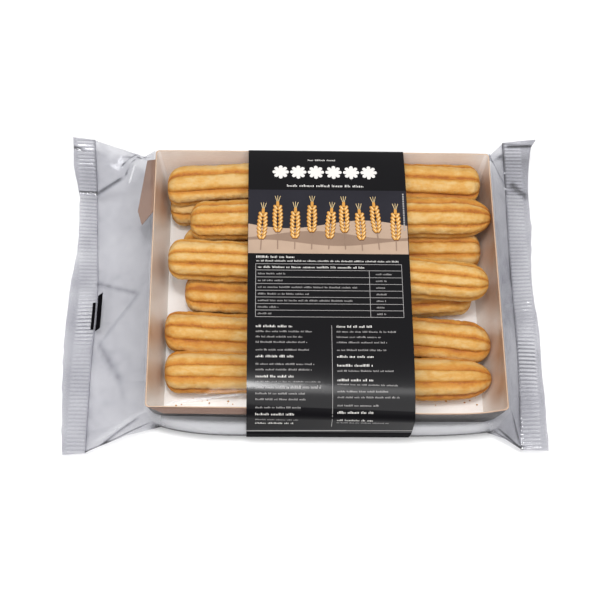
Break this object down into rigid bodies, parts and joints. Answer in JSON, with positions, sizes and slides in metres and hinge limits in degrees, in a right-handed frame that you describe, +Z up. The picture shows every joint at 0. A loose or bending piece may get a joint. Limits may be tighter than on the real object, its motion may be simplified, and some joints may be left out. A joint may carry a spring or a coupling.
{
  "type": "pack of churros",
  "caption": "Sealed clear film pack with crimped ends, holding ridged fried dough sticks in a shallow board tray under a dark printed band.",
  "frame": {"origin": "on the surface the pack lies on, under the middle of its bounding box", "axes": "+X towards the right end seal as the printed side is read, +Y towards the back edge, +Z up from the table"},
  "size_m": [0.2734, 0.1902, 0.0428],
  "materials": {
    "clear_film": "gloss",
    "label_film": "gloss",
    "label_print": "satin",
    "tray_board": "satin",
    "fried_dough": "satin"
  },
  "bodies": {
    "root": {"film_bag": "clear_film", "label": "label_film"}
  },
  "joints": []
}
